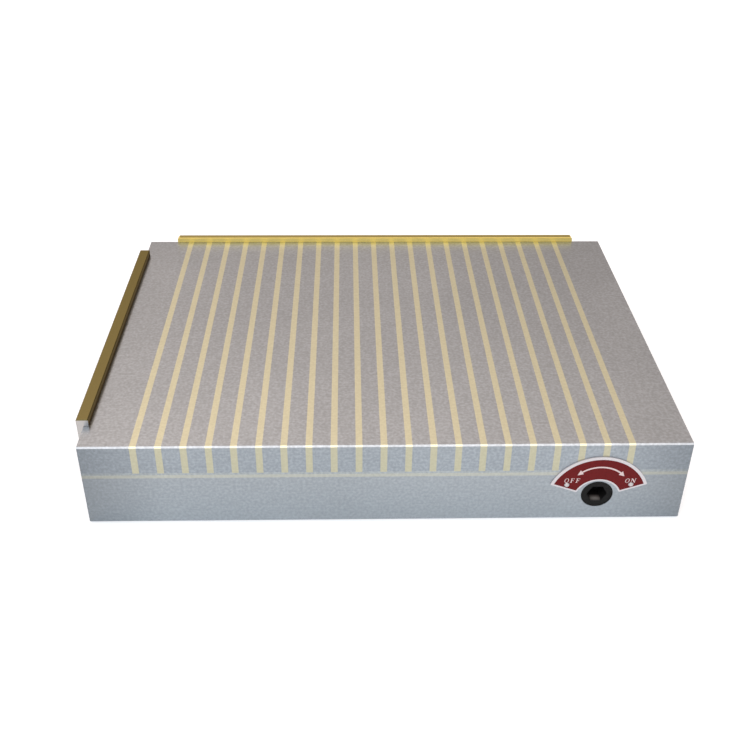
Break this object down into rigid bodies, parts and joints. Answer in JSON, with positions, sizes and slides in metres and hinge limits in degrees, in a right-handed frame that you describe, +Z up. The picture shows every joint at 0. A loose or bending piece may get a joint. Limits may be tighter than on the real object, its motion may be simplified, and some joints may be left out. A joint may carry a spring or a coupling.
{
  "type": "magnetic chuck",
  "caption": "Rectangular permanent magnetic chuck: slotted steel pole plate with brass strips, side stops, and a keyed crank that slides the magnet core on and off.",
  "frame": {"origin": "middle of the base face, on the plane of the table that the chuck is clamped to", "axes": "+X along the long front towards the key end, +Y from the key side to the back stop, +Z up, out of the working face"},
  "size_m": [0.4092, 0.3109, 0.0683],
  "materials": {
    "ground_steel": "fine ground",
    "mild_steel": "milled",
    "black_steel": "black oxide",
    "black_shaft": "black oxide",
    "bright_steel": "zinc plated",
    "strip_brass": "ground flush",
    "seam_brass": "ground flush",
    "stop_brass": "drawn bar",
    "bronze": "turned bronze",
    "dial_metal": "red enamel on aluminium",
    "seal_rubber": "matt",
    "core_aluminium": "milled",
    "magnet": "sintered"
  },
  "bodies": {
    "chuck_body": {"back_stop_screws": "black_steel", "back_stop_washers": "bright_steel", "base_plate": "mild_steel", "base_plate_screws": "black_steel", "brass_strip_01": "strip_brass", "brass_strip_02": "strip_brass", "brass_strip_03": "strip_brass", "brass_strip_04": "strip_brass", "brass_strip_05": "strip_brass", "brass_strip_06": "strip_brass", "brass_strip_07": "strip_brass", "brass_strip_08": "strip_brass", "brass_strip_09": "strip_brass", "brass_strip_10": "strip_brass", "brass_strip_11": "strip_brass", "brass_strip_12": "strip_brass", "brass_strip_13": "strip_brass", "brass_strip_14": "strip_brass", "brass_strip_15": "strip_brass", "brass_strip_16": "strip_brass", "brass_strip_17": "strip_brass", "brass_strip_18": "strip_brass", "brass_strip_19": "strip_brass", "brass_strip_20": "strip_brass", "brass_strip_21": "strip_brass", "dial_plate": "dial_metal", "dial_rivets": "bright_steel", "end_stop_screws": "black_steel", "end_stop_washers": "bright_steel", "housing": "ground_steel", "pole_plate": "ground_steel", "pole_plate_screws": "black_steel", "seam_seal": "seam_brass", "shaft_bush": "bronze", "slide_strips": "bronze", "stop_screw": "black_steel"},
    "crank": {"crank_shaft": "black_shaft", "shaft_seal": "seal_rubber", "drive_bush": "bronze"},
    "magnet_core": {"core_tray": "core_aluminium", "core_irons": "mild_steel", "core_magnets": "magnet"},
    "back_stop": {"back_stop": "stop_brass"},
    "end_stop": {"end_stop": "stop_brass"}
  },
  "joints": [
    {"name": "core_slide", "type": "slide", "parent": "chuck_body", "child": "magnet_core", "axis": [1, 0, 0], "range_m": [0, 0.0081]},
    {"name": "crank_turn", "type": "hinge", "parent": "chuck_body", "child": "crank", "pos_m": [0.1415, -0.138, 0.02105], "axis": [0, 1, 0], "range_deg": [0, 180]},
    {"name": "back_stop_lift", "type": "slide", "parent": "chuck_body", "child": "back_stop", "axis": [0, 0, 1], "range_m": [0, 0.005]},
    {"name": "end_stop_lift", "type": "slide", "parent": "chuck_body", "child": "end_stop", "axis": [0, 0, 1], "range_m": [0, 0.005]}
  ],
  "couplings": [
    {"joint": "crank_turn", "follows": "core_slide", "rad_per_m": 387.85}
  ]
}
